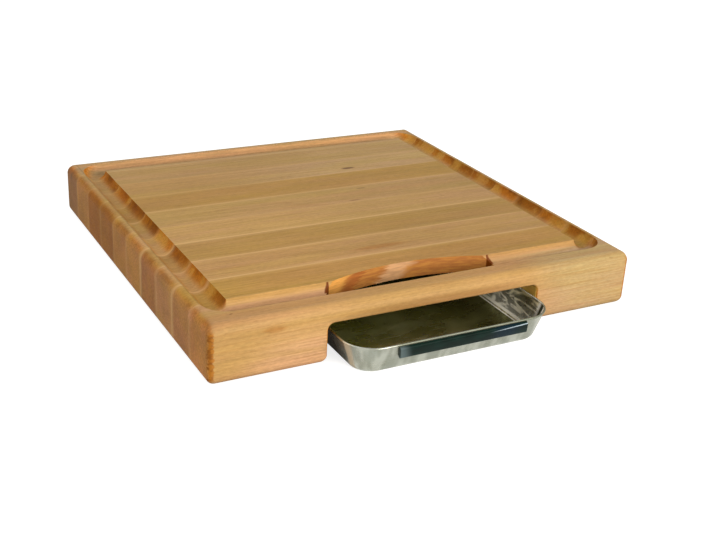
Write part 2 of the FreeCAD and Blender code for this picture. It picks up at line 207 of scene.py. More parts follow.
def soft_spot(tree, place, middle, reach):
    """1 in the middle of an oval spot, 0 outside it; a reach of 0 runs right through the stave."""
    away = add_node(tree, "ShaderNodeVectorMath", {0: place, 1: middle}, operation="SUBTRACT")
    sizes = tuple(1 / length if length else 0.0 for length in reach)
    scaled = add_node(tree, "ShaderNodeVectorMath", {0: away.outputs[0], 1: sizes}, operation="MULTIPLY")
    distance = add_node(tree, "ShaderNodeVectorMath", {0: scaled.outputs[0]}, operation="LENGTH")
    return smooth_step(tree, distance.outputs["Value"], 1.0, 0.35)


def joint_share(tree, across, front_joint, back_joint, line_width):
    """How much of the pale glue-line wood shows, from the distance to the stave's two joints."""
    shares = []
    for side, strength in ((-1, front_joint), (1, back_joint)):
        reach = product(tree, across, side)
        line = smooth_step(tree, reach, STAVE_DEPTH / 2 - line_width, STAVE_DEPTH / 2 - line_width / 6)
        halo = smooth_step(tree, reach, STAVE_DEPTH / 2 - JOINT_HALO, STAVE_DEPTH / 2)
        both = calculate(tree, "MULTIPLY_ADD", line, 0.5, product(tree, halo, 0.3))
        shares.append(product(tree, both, strength))
    return calculate(tree, "ADD", *shares)


def glue_lines(tree, grain, spot, on_end_grain, middle_y, joints, end_joints, wood):
    """Thin pale lines on the long faces, wider and ragged ones across the end grain."""
    across = calculate(tree, "SUBTRACT", spot.outputs["Y"], middle_y)
    on_long = joint_share(tree, across, *joints, LONG_LINE)
    on_end = product(tree, joint_share(tree, across, *end_joints, END_LINE),
                     smooth_step(tree, grain["patches"], 0.34, 0.60, 0.45, 1.0))
    glued = add_node(tree, "ShaderNodeMix", {0: on_end_grain, 2: on_long, 3: on_end}, data_type="FLOAT")
    fading = smooth_step(tree, spot.outputs["X"], 0.17, 0.20, 1.0, 0.35)
    return mix_colours(tree, product(tree, glued.outputs[0], fading), wood, JOINT_LIGHT)


print("spots and glue lines ready")

# %% [markdown]
# The scraping opening is sawn from the groove's front run down into the channel. A saw tears the
# fibres of the bowed wall, so it drinks oil in leaning streaks, from honey through brown to one
# rosy patch, and at each end where it turns a small dark triangle of shade is painted in. A mask
# keeps these tones to the upright wall behind the rim, by its place and by the way its surface faces.

# %% The sawn wall of the opening
OPENING_WOOD = colour(176, 118, 54)
OPENING_STREAK = colour(174, 110, 54)
OPENING_HONEY = colour(219, 155, 76)
OPENING_BROWN = colour(162, 92, 41)
OPENING_ROSY = colour(204, 158, 114)
# Painted shade for the small triangle at each end of the opening's wall.
ENDS_PAINTED_SHADE = colour(108, 52, 4)
OPENING_MIDDLE_X = -0.004
OPENING_END = 0.0890
OPENING_TONES = ((-0.1005, 0.004, 0.012, OPENING_BROWN), (-0.051, 0.008, 0.020, OPENING_ROSY))
STREAK_LEAN = math.radians(35)


def sawn_wood(tree, place, spot):
    """Leaning streaks whose tone changes along the wall."""
    lean = add_node(tree, "ShaderNodeMapping", {"Vector": place, "Rotation": (0.0, STREAK_LEAN, 0.0),
                    "Scale": (60, 45, 420)})
    streaks = add_node(tree, "ShaderNodeTexNoise", {"Vector": lean.outputs[0], "Scale": 1.0, "Detail": 3.0,
                       "Roughness": 0.65}).outputs["Fac"]
    sawn = mix_colours(tree, smooth_step(tree, streaks, 0.40, 0.62), OPENING_STREAK, OPENING_WOOD)
    leaning = calculate(tree, "MULTIPLY_ADD", spot.outputs["Z"], -0.8, spot.outputs["X"])
    leaning = calculate(tree, "MULTIPLY_ADD", calculate(tree, "SUBTRACT", streaks, 0.5), 0.030, leaning)
    sawn = mix_colours(tree, smooth_step(tree, leaning, -0.108, -0.118), sawn, OPENING_HONEY)
    for middle, inner, outer, tone in OPENING_TONES:
        share = product(tree, band(tree, leaning, middle, inner, outer), 0.85)
        sawn = mix_colours(tree, share, sawn, tone)
    return mix_colours(tree, 1.0, sawn, smooth_step(tree, streaks, 0.34, 0.66, 0.84, 1.08), "MULTIPLY")


def painted_shade_ends(tree, spot, along, forward, wood):
    """A triangle of painted shade beside each end of the wall, narrower towards the top."""
    height = smooth_step(tree, spot.outputs["Z"], 0.0470, 0.0565)
    past_end = calculate(tree, "MULTIPLY_ADD", height, 0.0045, along)
    ends = product(tree, smooth_step(tree, along, 0.0872, 0.0882),
                   smooth_step(tree, past_end, 0.0955, 0.0935))
    from_line = calculate(tree, "ABSOLUTE", calculate(tree, "ADD", spot.outputs["Y"], 0.1590))
    beside = smooth_step(tree, from_line, 0.0060, 0.0045)
    # The share of painted shade at the wall's two ends.
    shade_share = product(tree, ends, beside, smooth_step(tree, forward, 0.1, 0.25))
    return mix_colours(tree, shade_share, wood, ENDS_PAINTED_SHADE)


def opening_wood(tree, place, turned, spot, wood):
    """The saw leaves the bowed wall of the opening fuzzy and orange, and its two ends get painted shade."""
    along = calculate(tree, "ABSOLUTE", calculate(tree, "SUBTRACT", spot.outputs["X"], OPENING_MIDDLE_X))
    upright = smooth_step(tree, calculate(tree, "ABSOLUTE", turned.outputs["Z"]), 0.30, 0.05)
    behind_rim = smooth_step(tree, spot.outputs["Y"], -0.1900, -0.1850)
    within = product(tree, upright, behind_rim, smooth_step(tree, along, OPENING_END + 0.0035, OPENING_END))
    forward = product(tree, turned.outputs["Y"], -1.0)
    shown = product(tree, within, smooth_step(tree, forward, 0.4, 0.8))
    wood = mix_colours(tree, shown, wood, sawn_wood(tree, place, spot))
    return painted_shade_ends(tree, spot, along, forward, wood)


print("opening wood ready")

# %% [markdown]
# Four places look unlike the rest of the board. Round the upright front corners long grain turns
# into end grain, in small dark teeth. The channel's right cheek gets painted light, a pale tone
# where light runs along it. Its ceiling is painted olive, a cast of shade that the tray below
# reflects. And on the flat rim a thin dark line runs beside the groove.

# %% Corners, cheek, ceiling and rim
GROOVE_WOOD = colour(170, 104, 26)
GROOVE_DARK = colour(132, 74, 18)
GROOVE_OLIVE = colour(186, 140, 62)
# Painted light on the channel's right cheek.
CHEEK_PAINTED_LIGHT = colour(255, 204, 104)
# Painted shade: an olive cast on the channel's ceiling, which the tray reflects.
CEILING_SHADE_TINT = colour(184, 178, 48)
RIM_LINE_TINT = (0.62, 0.60, 0.55, 1.0)
GROOVE_EDGE_X = 0.2181


def toothed_corner(tree, place, turned, spot, wood):
    """Round the upright front corners the long grain turns into end grain in dark orange teeth."""
    facing = calculate(tree, "ABSOLUTE", turned.outputs["X"])
    upright = smooth_step(tree, calculate(tree, "ABSOLUTE", turned.outputs["Z"]), 0.6, 0.2)
    at_front = smooth_step(tree, spot.outputs["Y"], -0.1990, -0.2015)
    at_side = smooth_step(tree, calculate(tree, "ABSOLUTE", spot.outputs["X"]), 0.2205, 0.2225)
    teeth = stretched_noise(tree, place, (170, 170, 330), 2.0, 0.6)
    reach = calculate(tree, "MULTIPLY_ADD", calculate(tree, "SUBTRACT", teeth, 0.5), 0.9, facing)
    toothed = product(tree, upright, at_front, at_side, band(tree, reach, 0.55, 0.22, 0.42))
    stain = mix_colours(tree, smooth_step(tree, teeth, 0.42, 0.56), GROOVE_DARK, GROOVE_WOOD)
    return mix_colours(tree, product(tree, toothed, 0.75), wood, stain)


def painted_light_cheek(tree, turned, spot, wood):
    """Painted light: the channel's right cheek is coloured pale, where light runs along it."""
    facing_left = smooth_step(tree, turned.outputs["X"], -0.80, -0.97)
    short_of_leg = smooth_step(tree, spot.outputs["X"], 0.130, 0.125)
    past_tray = smooth_step(tree, spot.outputs["X"], 0.100, 0.105)
    return mix_colours(tree, product(tree, facing_left, short_of_leg, past_tray), wood, CHEEK_PAINTED_LIGHT)


def olive_shade_ceiling(tree, turned, spot, wood):
    """Painted shade: the channel's ceiling is coloured olive, a cast of shade that the tray reflects."""
    facing_down = smooth_step(tree, turned.outputs["Z"], -0.80, -0.97)
    off_counter = smooth_step(tree, spot.outputs["Z"], 0.020, 0.030)
    return mix_colours(tree, product(tree, facing_down, off_counter), wood, CEILING_SHADE_TINT)


def dark_rim_line(tree, turned, spot, wood):
    """A thin dark line on the flat rim beside the groove's two side runs."""
    flat = product(tree, smooth_step(tree, turned.outputs["Z"], 0.93, 0.99),
                   smooth_step(tree, spot.outputs["Y"], -0.168, -0.158))
    line = band(tree, calculate(tree, "ABSOLUTE", spot.outputs["X"]), GROOVE_EDGE_X + 0.0005, 0.0003, 0.0012)
    return mix_colours(tree, product(tree, line, flat, 0.6), wood, RIM_LINE_TINT, "MULTIPLY")


print("special places ready")

# %% [markdown]
# One recipe dresses every stave. Wood along the trunk is quiet: long fibres, faint clouds, ring
# lines and tiny flecks. Wood across it, on the ends and inside the groove, is darker and patchy.
# The way a surface faces decides between the two, so rounded edges blend from one to the other.
# The same noises drive the colour and a low bump, so a line that is seen can also be felt.

# %% One stave's wood
END_FACE_X = 0.2282
RING_TINT = (0.72, 0.52, 0.36, 1.0)
END_RING_TINT = (0.80, 0.66, 0.5, 1.0)
FLECK_TINT = (0.5, 0.34, 0.2, 1.0)
YELLOWER = (0.99, 1.02, 0.89, 1.0)
ROSIER = (1.02, 0.975, 1.12, 1.0)
GRAIN = {
    "fibres": ((16, 620, 620), 4.0, 0.6),
    "streaks": ((3.5, 90, 90), 2.0),
    "clouds": ((9, 26, 26), 2.0),
    "flecks": ((110, 1500, 1500), 1.0),
    "pores": ((190, 560, 560), 3.0, 0.7),
    "patches": ((12, 26, 26), 3.0, 0.6),
    "blush": ((3, 24, 24), 3.0, 0.65),
}


def long_grain_wood(tree, grain, rings, face, ring_share):
    """Wood along the trunk, from the stave's own colour."""
    blend = calculate(tree, "MULTIPLY_ADD", grain["streaks"], 0.5, grain["fibres"])
    blend = calculate(tree, "MULTIPLY_ADD", grain["clouds"], 0.5, blend)
    level = smooth_step(tree, blend, 0.70, 1.30, 0.88, 1.11)
    level = calculate(tree, "MULTIPLY_ADD", calculate(tree, "SUBTRACT", grain["pores"], 0.5), 0.55, level)
    wood = mix_colours(tree, 1.0, face, level, "MULTIPLY")
    ring_shown = product(tree, rings, smooth_step(tree, grain["streaks"], 0.35, 0.62, 0.2, 1.0))
    wood = mix_colours(tree, product(tree, ring_shown, ring_share), wood, RING_TINT, "MULTIPLY")
    return mix_colours(tree, product(tree, grain["flecks"], 0.32), wood, FLECK_TINT, "MULTIPLY")


def end_grain_wood(tree, grain, rings, spot, end, groove_level):
    """Wood across the trunk: the stave's end colour on its end face, the groove's tones inside."""
    sideways = calculate(tree, "ABSOLUTE", spot.outputs["X"])
    end_face = smooth_step(tree, sideways, END_FACE_X - 0.0055, END_FACE_X)
    patches = grain["patches"]
    groove = mix_colours(tree, 1.0, GROOVE_WOOD, (groove_level, groove_level, groove_level, 1.0), "MULTIPLY")
    groove = mix_colours(tree, smooth_step(tree, patches, 0.48, 0.62, 0.0, 0.75), groove, GROOVE_OLIVE)
    groove = mix_colours(tree, smooth_step(tree, patches, 0.45, 0.36, 0.0, 0.6), groove, GROOVE_DARK)
    wood = mix_colours(tree, end_face, groove, end)
    mottled = calculate(tree, "MULTIPLY_ADD", patches, 0.9, grain["pores"])
    wood = mix_colours(tree, 1.0, wood, smooth_step(tree, mottled, 0.7, 1.2, 0.76, 1.17), "MULTIPLY")
    return mix_colours(tree, product(tree, rings, 0.28), wood, END_RING_TINT, "MULTIPLY")


def marked_wood(tree, place, fibres, marks, wood):
    """Tints the wood at each mark, a little raggedly along the fibres."""
    for middle, reach, strength, tint in marks:
        ragged = product(tree, soft_spot(tree, place, middle, reach),
                         smooth_step(tree, fibres, 0.3, 0.6, 0.4, 1.0))
        wood = mix_colours(tree, product(tree, ragged, strength), wood, tint, "MULTIPLY")
    return wood


def maple(name, middle_y, face, end, groove_level, heart, ring_width, run_out, ring_share, joints,
          end_joints, marks=()):
    """One stave's material, from the colours of its long faces and its ends."""
    material, tree, shader = new_material(name)
    space = add_node(tree, "ShaderNodeTexCoord")
    place = space.outputs["Object"]
    turned = add_node(tree, "ShaderNodeSeparateXYZ", {0: space.outputs["Normal"]})
    spot = add_node(tree, "ShaderNodeSeparateXYZ", {0: place})
    # Each stave reads the noises at a place of its own, so that no two share a pattern.
    own = add_node(tree, "ShaderNodeVectorMath", {0: place, 1: (middle_y * 31, 0.0, middle_y * 7)},
                   operation="ADD").outputs[0]
    grain = {part: stretched_noise(tree, own, *size) for part, size in GRAIN.items()}
    grain["flecks"] = smooth_step(tree, grain["flecks"], 0.64, 0.74)
    rings = ring_lines(tree, place, middle_y + heart[0], heart[1], ring_width, run_out)
    on_end_grain = smooth_step(tree, calculate(tree, "ABSOLUTE", turned.outputs["X"]), 0.15, 0.80)

    long_wood = long_grain_wood(tree, grain, rings, face, ring_share)
    end_wood = end_grain_wood(tree, grain, rings, spot, end, groove_level)
    wood = mix_colours(tree, on_end_grain, long_wood, end_wood)
    hue = mix_colours(tree, smooth_step(tree, grain["blush"], 0.36, 0.64), YELLOWER, ROSIER)
    wood = mix_colours(tree, 1.0, wood, hue, "MULTIPLY")
    wood = glue_lines(tree, grain, spot, on_end_grain, middle_y, joints, end_joints, wood)
    wood = dark_rim_line(tree, turned, spot, wood)
    wood = marked_wood(tree, place, grain["fibres"], marks, wood)
    wood = olive_shade_ceiling(tree, turned, spot, wood)
    if name.endswith(("01_front", "02")):
        wood = opening_wood(tree, place, turned, spot, wood)
    if name.endswith("01_front"):
        wood = painted_light_cheek(tree, turned, spot, toothed_corner(tree, place, turned, spot, wood))
    plug_in(tree, shader.inputs["Base Color"], wood)

    plug_in(tree, shader.inputs["Roughness"], smooth_step(tree, grain["fibres"], 0.3, 0.7, 0.64, 0.50))
    relief = calculate(tree, "MULTIPLY_ADD", grain["fibres"], 0.6, product(tree, grain["flecks"], -0.5))
    relief = calculate(tree, "MULTIPLY_ADD", rings, -0.35, relief)
    bump = add_node(tree, "ShaderNodeBump", {"Strength": 0.4, "Distance": 0.0002, "Height": relief})
    plug_in(tree, shader.inputs["Normal"], bump.outputs["Normal"])
    plug_in(tree, shader.inputs["Specular IOR Level"], smooth_step(tree, on_end_grain, 0.0, 1.0, 0.15, 0.05))
    return material


print("wood recipe ready")

# %% [markdown]
# No two staves come from the same plank. The list gives each one, from the front to the back, the
# colour of its long faces, the colour of its end grain, how light its wood is inside the groove,
# where the heart of its tree lay, how wide its rings are, how far they run out of level, and how
# strongly they show. The two rows of joints give the strength of each pale glue line, on the long
# faces and on the ends. The marks darken, lighten or redden single places, such as pin knots and a
# streak, and some are painted light and shade: light on the left leg and, rosy, on the groove walls
# that face the front lamp, shade over the channel and low in the back groove, and light falling off
# from left to right across staves two to six. Each has a middle, a reach, a strength and a tint.

# %% Give each stave its own plank
KNOT = (0.26, 0.17, 0.10, 1.0)
STREAK = (0.80, 0.58, 0.40, 1.0)
PALE = (0.97, 1.16, 1.45, 1.0)
TAWNY = (0.84, 0.68, 0.44, 1.0)
# Painted shade on the front face over the channel.
DULLED_PAINTED_SHADE = (0.65, 0.58, 0.46, 1.0)
AMBER = (0.98, 0.93, 0.82, 1.0)
# Painted light on the front face's left leg.
SUNNY_PAINTED_LIGHT = (1.20, 1.22, 1.50, 1.0)
# Painted light, pinker, on the front groove's wall that faces the front lamp.
ROSY_PAINTED_LIGHT = (1.16, 1.14, 1.45, 1.0)
# Painted light on the back groove's wall that faces the front lamp.
WARM_PAINTED_LIGHT = (1.30, 1.12, 1.15, 1.0)
PINKISH = (1.03, 1.06, 1.24, 1.0)
HONEY = (0.95, 0.91, 0.72, 1.0)
# Painted shade low on the back groove's wall.
GREYED_PAINTED_SHADE = (0.80, 0.90, 0.98, 1.0)
FAR_EDGE = (0.60, 0.64, 0.60, 1.0)
# Light falling off from left to right, painted: shade on the right, light on the left.
PAINTED_SHADE_RIGHT = ((0.1900, 0.0, 0.0), (0.2400, 0.0, 0.0), 1.0, (0.93, 0.94, 0.95, 1.0))
PAINTED_LIGHT_LEFT = ((-0.1900, 0.0, 0.0), (0.2400, 0.0, 0.0), 1.0, (1.05, 1.05, 1.05, 1.0))
PLANKS = {
    "stave_01_front": ((178, 138, 86), (188, 129, 69), 1.05, (0.035, -0.055), 0.0046, 0.022, 0.28),
    "stave_02": ((172, 131, 64), (174, 121, 68), 0.90, (-0.030, 0.085), 0.0036, -0.016, 0.20),
    "stave_03": ((177, 136, 81), (173, 124, 71), 1.10, (0.016, -0.060), 0.0030, 0.012, 0.25),
    "stave_04": ((167, 129, 66), (160, 107, 55), 0.85, (-0.050, 0.020), 0.0040, -0.020, 0.20),
    "stave_05": ((182, 142, 86), (177, 123, 63), 1.20, (0.038, 0.095), 0.0034, 0.010, 0.20),
    "stave_06": ((174, 137, 80), (168, 115, 57), 0.95, (-0.012, -0.070), 0.0031, -0.014, 0.25),
    "stave_07": ((168, 129, 63), (150, 96, 35), 0.80, (0.060, 0.030), 0.0038, 0.018, 0.20),
    "stave_08": ((174, 139, 82), (156, 99, 34), 1.05, (-0.040, -0.050), 0.0032, -0.012, 0.20),
    "stave_09": ((171, 135, 79), (171, 118, 59), 0.90, (0.025, 0.090), 0.0036, 0.015, 0.20),
    "stave_10_back": ((170, 138, 86), (143, 99, 53), 1.10, (-0.055, 0.010), 0.0034, -0.018, 0.20),
}
JOINTS = (0.0, 0.55, 0.9, 0.75, 1.0, 0.35, 0.70, 0.45, 0.35, 0.4, 0.0)
END_JOINTS = (0.0, 0.35, 0.8, 0.45, 1.0, 0.30, 0.20, 0.20, 0.15, 0.2, 0.0)
MARKS = {
    "stave_01_front": [((0.1800, -0.1900, 0.0), (0.0900, 0.0600, 0.0), 1.0, PALE),
                       ((-0.1330, -0.2068, 0.0080), (0.0850, 0.0100, 0.0460), 1.0, SUNNY_PAINTED_LIGHT),
                       ((-0.1670, -0.2068, 0.0450), (0.0150, 0.0060, 0.0050), 0.7, STREAK),
                       ((-0.2002, -0.1874, 0.0571), (0.0022, 0.0010, 0.0030), 1.0, KNOT),
                       ((0.0, -0.1640, 0.0470), (0.0, 0.0060, 0.0090), 0.8, ROSY_PAINTED_LIGHT),
                       ((0.0, -0.2068, 0.0440), (0.1250, 0.0100, 0.0065), 0.8, DULLED_PAINTED_SHADE),
                       ((0.0, -0.1900, 0.0571), (0.0, 0.0085, 0.0060), 1.0, AMBER)],
    "stave_02": [((0.0, -0.1590, 0.0520), (0.0, 0.0042, 0.0095), 1.0, ROSY_PAINTED_LIGHT), PAINTED_SHADE_RIGHT, PAINTED_LIGHT_LEFT],
    "stave_03": [((-0.0045, -0.1000, 0.0), (0.0420, 0.0062, 0.0), 1.0, TAWNY), PAINTED_SHADE_RIGHT, PAINTED_LIGHT_LEFT],
    "stave_04": [PAINTED_SHADE_RIGHT, PAINTED_LIGHT_LEFT],
    "stave_05": [PAINTED_SHADE_RIGHT, PAINTED_LIGHT_LEFT],
    "stave_06": [((0.0578, 0.0584, 0.0), (0.0080, 0.0022, 0.0), 0.50, KNOT), PAINTED_SHADE_RIGHT,
                 ((0.0331, 0.0261, 0.0), (0.0110, 0.0020, 0.0), 0.50, KNOT)],
    "stave_08": [((0.0760, 0.1260, 0.0), (0.0115, 0.0042, 0.0), 1.0, KNOT),
                 ((0.1400, 0.0, 0.0), (0.2000, 0.0, 0.0), 1.0, PINKISH),
                 ((-0.2000, 0.0, 0.0), (0.2000, 0.0, 0.0), 1.0, HONEY)],
    "stave_09": [((0.1700, 0.0, 0.0), (0.1800, 0.0, 0.0), 1.0, PINKISH)],
    "stave_10_back": [((0.0, 0.2345, 0.0540), (0.0, 0.0065, 0.0120), 1.0, WARM_PAINTED_LIGHT),
                      ((0.0, 0.2290, 0.0490), (0.0, 0.0070, 0.0055), 1.0, GREYED_PAINTED_SHADE),
                      ((0.0, 0.2515, 0.0571), (0.0, 0.0065, 0.0120), 0.9, FAR_EDGE)],
}
board_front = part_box("stave_01_front")[0].y
for number, (stave, (face, end, groove_level, heart, *rings)) in enumerate(PLANKS.items()):
    middle_y = (number + 0.5) * STAVE_DEPTH + board_front
    wood = maple("maple_" + stave, middle_y, colour(*face), colour(*end), groove_level, heart, *rings,
                 JOINTS[number:number + 2], END_JOINTS[number:number + 2], MARKS.get(stave, ()))
    for slot in frame["nodes"][stave].material_slots:
        slot.material = wood
print(len(PLANKS), "staves dressed in maple")

# %% [markdown]
# The tray is pressed from one sheet of stainless steel: a flat floor, a soft bend into walls that
# lean out, and an edge rolled into a bead so that it doesn't cut. A press forms it at one go. Here
# its cross-section is drawn as a chain of points, spun round each corner and pulled along each
# side, which gives even corners and an even sheet; insetting a box would pinch the corners.

# %% Draw the cross-section of the tray's wall
tray_low, tray_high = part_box("tray")
BEAD_RADIUS = 0.0010
SHEET = 0.0009
WALL_LEAN = 0.0100
CORNER_RADIUS = 0.0305
BEND_RADIUS = 0.0074
BEND_STEPS = 9
BEAD_STEPS = 16
CORNER_STEPS = 16
bead_height = tray_high.z - BEAD_RADIUS
wall_tilt = math.atan(WALL_LEAN / bead_height)
bend_inset = BEAD_RADIUS - SHEET / 2 + WALL_LEAN + BEND_RADIUS * math.tan((math.pi / 2 - wall_tilt) / 2)


def arc_points(middle, radius, start, end, steps):
    """Points (inset, height) along an arc of the cross-section, angles in radians."""
    angles = [start + (end - start) * step / steps for step in range(steps + 1)]
    return [(middle[0] + radius * math.cos(a), middle[1] + radius * math.sin(a)) for a in angles]


def wall_section():
    """From the floor's upper face, up the inside, over the rolled edge and down the outside."""
    foot, rim = (bend_inset, BEND_RADIUS), (BEAD_RADIUS, bead_height)
    down, wall = -math.pi / 2, -math.pi + wall_tilt
    off_outside = SHEET / 2 * math.cos(wall_tilt)
    outside = -math.pi / 2 + wall_tilt - math.asin(off_outside / BEAD_RADIUS) + math.tau
    inside = -math.pi / 2 + wall_tilt + math.asin((SHEET - off_outside) / BEAD_RADIUS)
    points = arc_points(foot, BEND_RADIUS - SHEET, down, wall, BEND_STEPS)
    points += arc_points(rim, BEAD_RADIUS, inside, outside, BEAD_STEPS)
    return points + arc_points(foot, BEND_RADIUS, wall, down, BEND_STEPS)


section = wall_section()
print(len(section), "points from inset", section[0], "to", section[-1])

# %% [markdown]
# In edit mode a small plane is merged into one point, the first, and each extrude adds the next.
# The chain is spun a quarter turn about the first corner's axis, extruded along the front, spun
# again, and so on round. The two open rings left at the floor are closed with a flat face each.

# %% Spin and pull the section into a tray
WELD = 1e-6
SAME_HEIGHT = 1e-5


def deselect_all():
    """Nothing may be selected before an operator, because it acts on all that is."""
    if bpy.context.mode != "OBJECT":
        bpy.ops.object.mode_set(mode="OBJECT")
    bpy.ops.object.select_all(action="DESELECT")


def single_point(name, place):
    """A new object in edit mode with one selected vertex at a place."""
    deselect_all()
    bpy.ops.mesh.primitive_plane_add(size=0.002, location=place)
    piece = bpy.context.object
    piece.name = piece.data.name = name
    bpy.ops.object.transform_apply(location=True)
    bpy.ops.object.mode_set(mode="EDIT")
    bpy.ops.mesh.select_all(action="SELECT")
    bpy.ops.mesh.merge(type="CENTER")
    return piece


def pull(offset):
    """Extrudes what is selected along an offset."""
    bpy.ops.mesh.extrude_region_move(TRANSFORM_OT_translate={"value": offset})


def close_ring(piece, height):
    """Fills the ring of free edges at one height with a flat face."""
    bpy.ops.mesh.select_all(action="DESELECT")
    bpy.ops.mesh.select_mode(type="EDGE")
    bpy.ops.mesh.select_non_manifold()
    bpy.ops.object.mode_set(mode="OBJECT")
    mesh = piece.data
    for edge in mesh.edges:
        at_height = all(abs(mesh.vertices[v].co.z - height) < SAME_HEIGHT for v in edge.vertices)
        edge.select = edge.select and at_height
    bpy.ops.object.mode_set(mode="EDIT")
    bpy.ops.mesh.edge_face_add()


def finish_mesh(piece, smooth_angle=40):
    """Welds, turns the faces outwards and shades smoothly up to an angle in degrees."""
    bpy.ops.mesh.select_all(action="SELECT")
    bpy.ops.mesh.remove_doubles(threshold=WELD)
    bpy.ops.mesh.normals_make_consistent(inside=False)
    bpy.ops.object.mode_set(mode="OBJECT")
    bpy.ops.object.shade_smooth_by_angle(angle=math.radians(smooth_angle))
    print(piece.name, len(piece.data.vertices), "vertices", len(piece.data.polygons), "faces")


def press_tray():
    """The tray, spun and pulled from its cross-section."""
    first = section[0]
    corner = Vector((tray_low.x + CORNER_RADIUS, tray_low.y + CORNER_RADIUS, 0))
    tray = single_point("steel_tray", (tray_low.x + first[0], corner.y, first[1]))
    for (inset, height), (next_inset, next_height) in zip(section, section[1:]):
        pull((next_inset - inset, 0, next_height - height))
    bpy.ops.mesh.select_all(action="SELECT")
    run_x = tray_high.x - tray_low.x - 2 * CORNER_RADIUS
    run_y = tray_high.y - tray_low.y - 2 * CORNER_RADIUS
    for run in ((run_x, 0, 0), (0, run_y, 0), (-run_x, 0, 0), (0, -run_y, 0)):
        bpy.ops.mesh.spin(steps=CORNER_STEPS, angle=-math.pi / 2, center=corner, axis=(0, 0, 1))
        pull(run)
        corner += Vector(run)
    bpy.ops.mesh.select_all(action="SELECT")
    bpy.ops.mesh.remove_doubles(threshold=WELD)
    for height in (SHEET, 0.0):
        close_ring(tray, height)
    finish_mesh(tray)
    return tray


tray = press_tray()

# %% [markdown]
# Stainless steel takes its look from what it reflects. A fine brushing runs along the sheet, so
# highlights smear across it, and the press leaves the sheet faintly wavy, which bends reflections.
# Roughness and bump carry the brushing, and long scratches keep it used. The floor is toned
# olive, a painted reflection of the olive shade above it, and the rim, but for its left end, is
# darker and rougher.

# %% The steel's colour
STEEL = colour(152, 157, 149)
STEEL_WARM = colour(130, 131, 116)
SMUDGED = colour(210, 212, 202)
# Painted reflection: the olive tones of the tray's floor.
OLIVE_CAST_NEAR = colour(178, 182, 146)
OLIVE_CAST_FAR = colour(142, 144, 92)
DARKER_RIM_COLOUR = colour(104, 107, 94)


def steel_colour(tree, place, spot, turned, tone, darker_rim):
    """Two greys by the tone, lighter smudges, the floor's painted olive reflection and the darker rim."""
    steel = mix_colours(tree, smooth_step(tree, tone, 0.3, 0.7), STEEL_WARM, STEEL)
    smudges = stretched_noise(tree, place, (70, 70, 12), 2.0)
    steel = mix_colours(tree, smooth_step(tree, smudges, 0.40, 0.62, 0.0, 0.38), steel, SMUDGED)
    floor = product(tree, smooth_step(tree, spot.outputs["Z"], 0.0030, 0.0012),
                    smooth_step(tree, turned.outputs["Z"], 0.85, 0.97))
    olive_reflection = mix_colours(tree, smooth_step(tree, spot.outputs["X"], -0.07, 0.07), OLIVE_CAST_NEAR, OLIVE_CAST_FAR)
    steel = mix_colours(tree, product(tree, floor, 0.9), steel, olive_reflection)
    return mix_colours(tree, product(tree, darker_rim, 0.85), steel, DARKER_RIM_COLOUR)


print("steel colours ready")

# %% [markdown]
# Where hands and cloths rub, a thin dull film of grease and lime lies on the steel. It isn't metal,
# so it is a matt shader mixed over the metal by its share: thin all over, in pale swirls on the
# inside of the right wall that are partly scuffs and partly painted streaky reflections, with
# painted highlight lines along its foot and round its corner and one painted gleam, and a painted
# beige reflection round the outer left corner.

# %% The film and the painted highlights on the steel
OLIVE_FILM = colour(150, 142, 84)
# Painted highlight colour for the lines and the gleam on the right wall's inside.
PAINTED_HIGHLIGHT_HAZE = colour(246, 240, 228)
SCUFF_AND_SHEEN = colour(208, 194, 152)
# Painted reflection, beige, round the tray's outer left corner.
CORNER_PAINTED_REFLECTION = colour(224, 210, 182)
SWIRL_LEAN = 0.45
PAINTED_GLEAM_PLACE = (0.098, -0.157, 0.007)
PAINTED_GLEAM_REACH = (0.006, 0.006, 0.006)


def right_wall_highlights_and_scuffs(tree, place, spot, left_facing, back_facing):
    """How far the tray's inner right wall has painted highlights, and how far it is scuffed, partly as
    painted streaky reflection.
    """
    inner_right = product(tree, smooth_step(tree, spot.outputs["X"], 0.072, 0.084),
                          smooth_step(tree, left_facing, -0.20, -0.40))
    swept = add_node(tree, "ShaderNodeMapping", {"Vector": place, "Rotation": (SWIRL_LEAN, 0.0, 0.0),
                     "Scale": (40, 22, 120)})
    swirl_noise = add_node(tree, "ShaderNodeTexNoise", {"Vector": swept.outputs[0], "Scale": 1.0, "Detail": 2.0,
                      "Distortion": 2.2})
    clear_of_turn = smooth_step(tree, back_facing, 0.32, 0.12)
    scuffs_and_sheen = smooth_step(tree, swirl_noise.outputs["Fac"], 0.44, 0.62, 0.10, 0.82)
    # The foot, the band and the turn below are painted highlight lines, and the gleam is a painted glint.
    foot = product(tree, band(tree, left_facing, -0.40, 0.05, 0.13), clear_of_turn)
    highlight_band = product(tree, band(tree, left_facing, -0.80, 0.09, 0.16), clear_of_turn, 0.9)
    turn = product(tree, band(tree, back_facing, 0.50, 0.025, 0.075),
                   smooth_step(tree, left_facing, -0.5, -0.7))
    painted_highlights = product(tree, strongest(tree, highlight_band, foot, turn), inner_right)
    painted_gleam = soft_spot(tree, place, PAINTED_GLEAM_PLACE, PAINTED_GLEAM_REACH)
    return strongest(tree, painted_highlights, painted_gleam), product(tree, scuffs_and_sheen, clear_of_turn, inner_right)


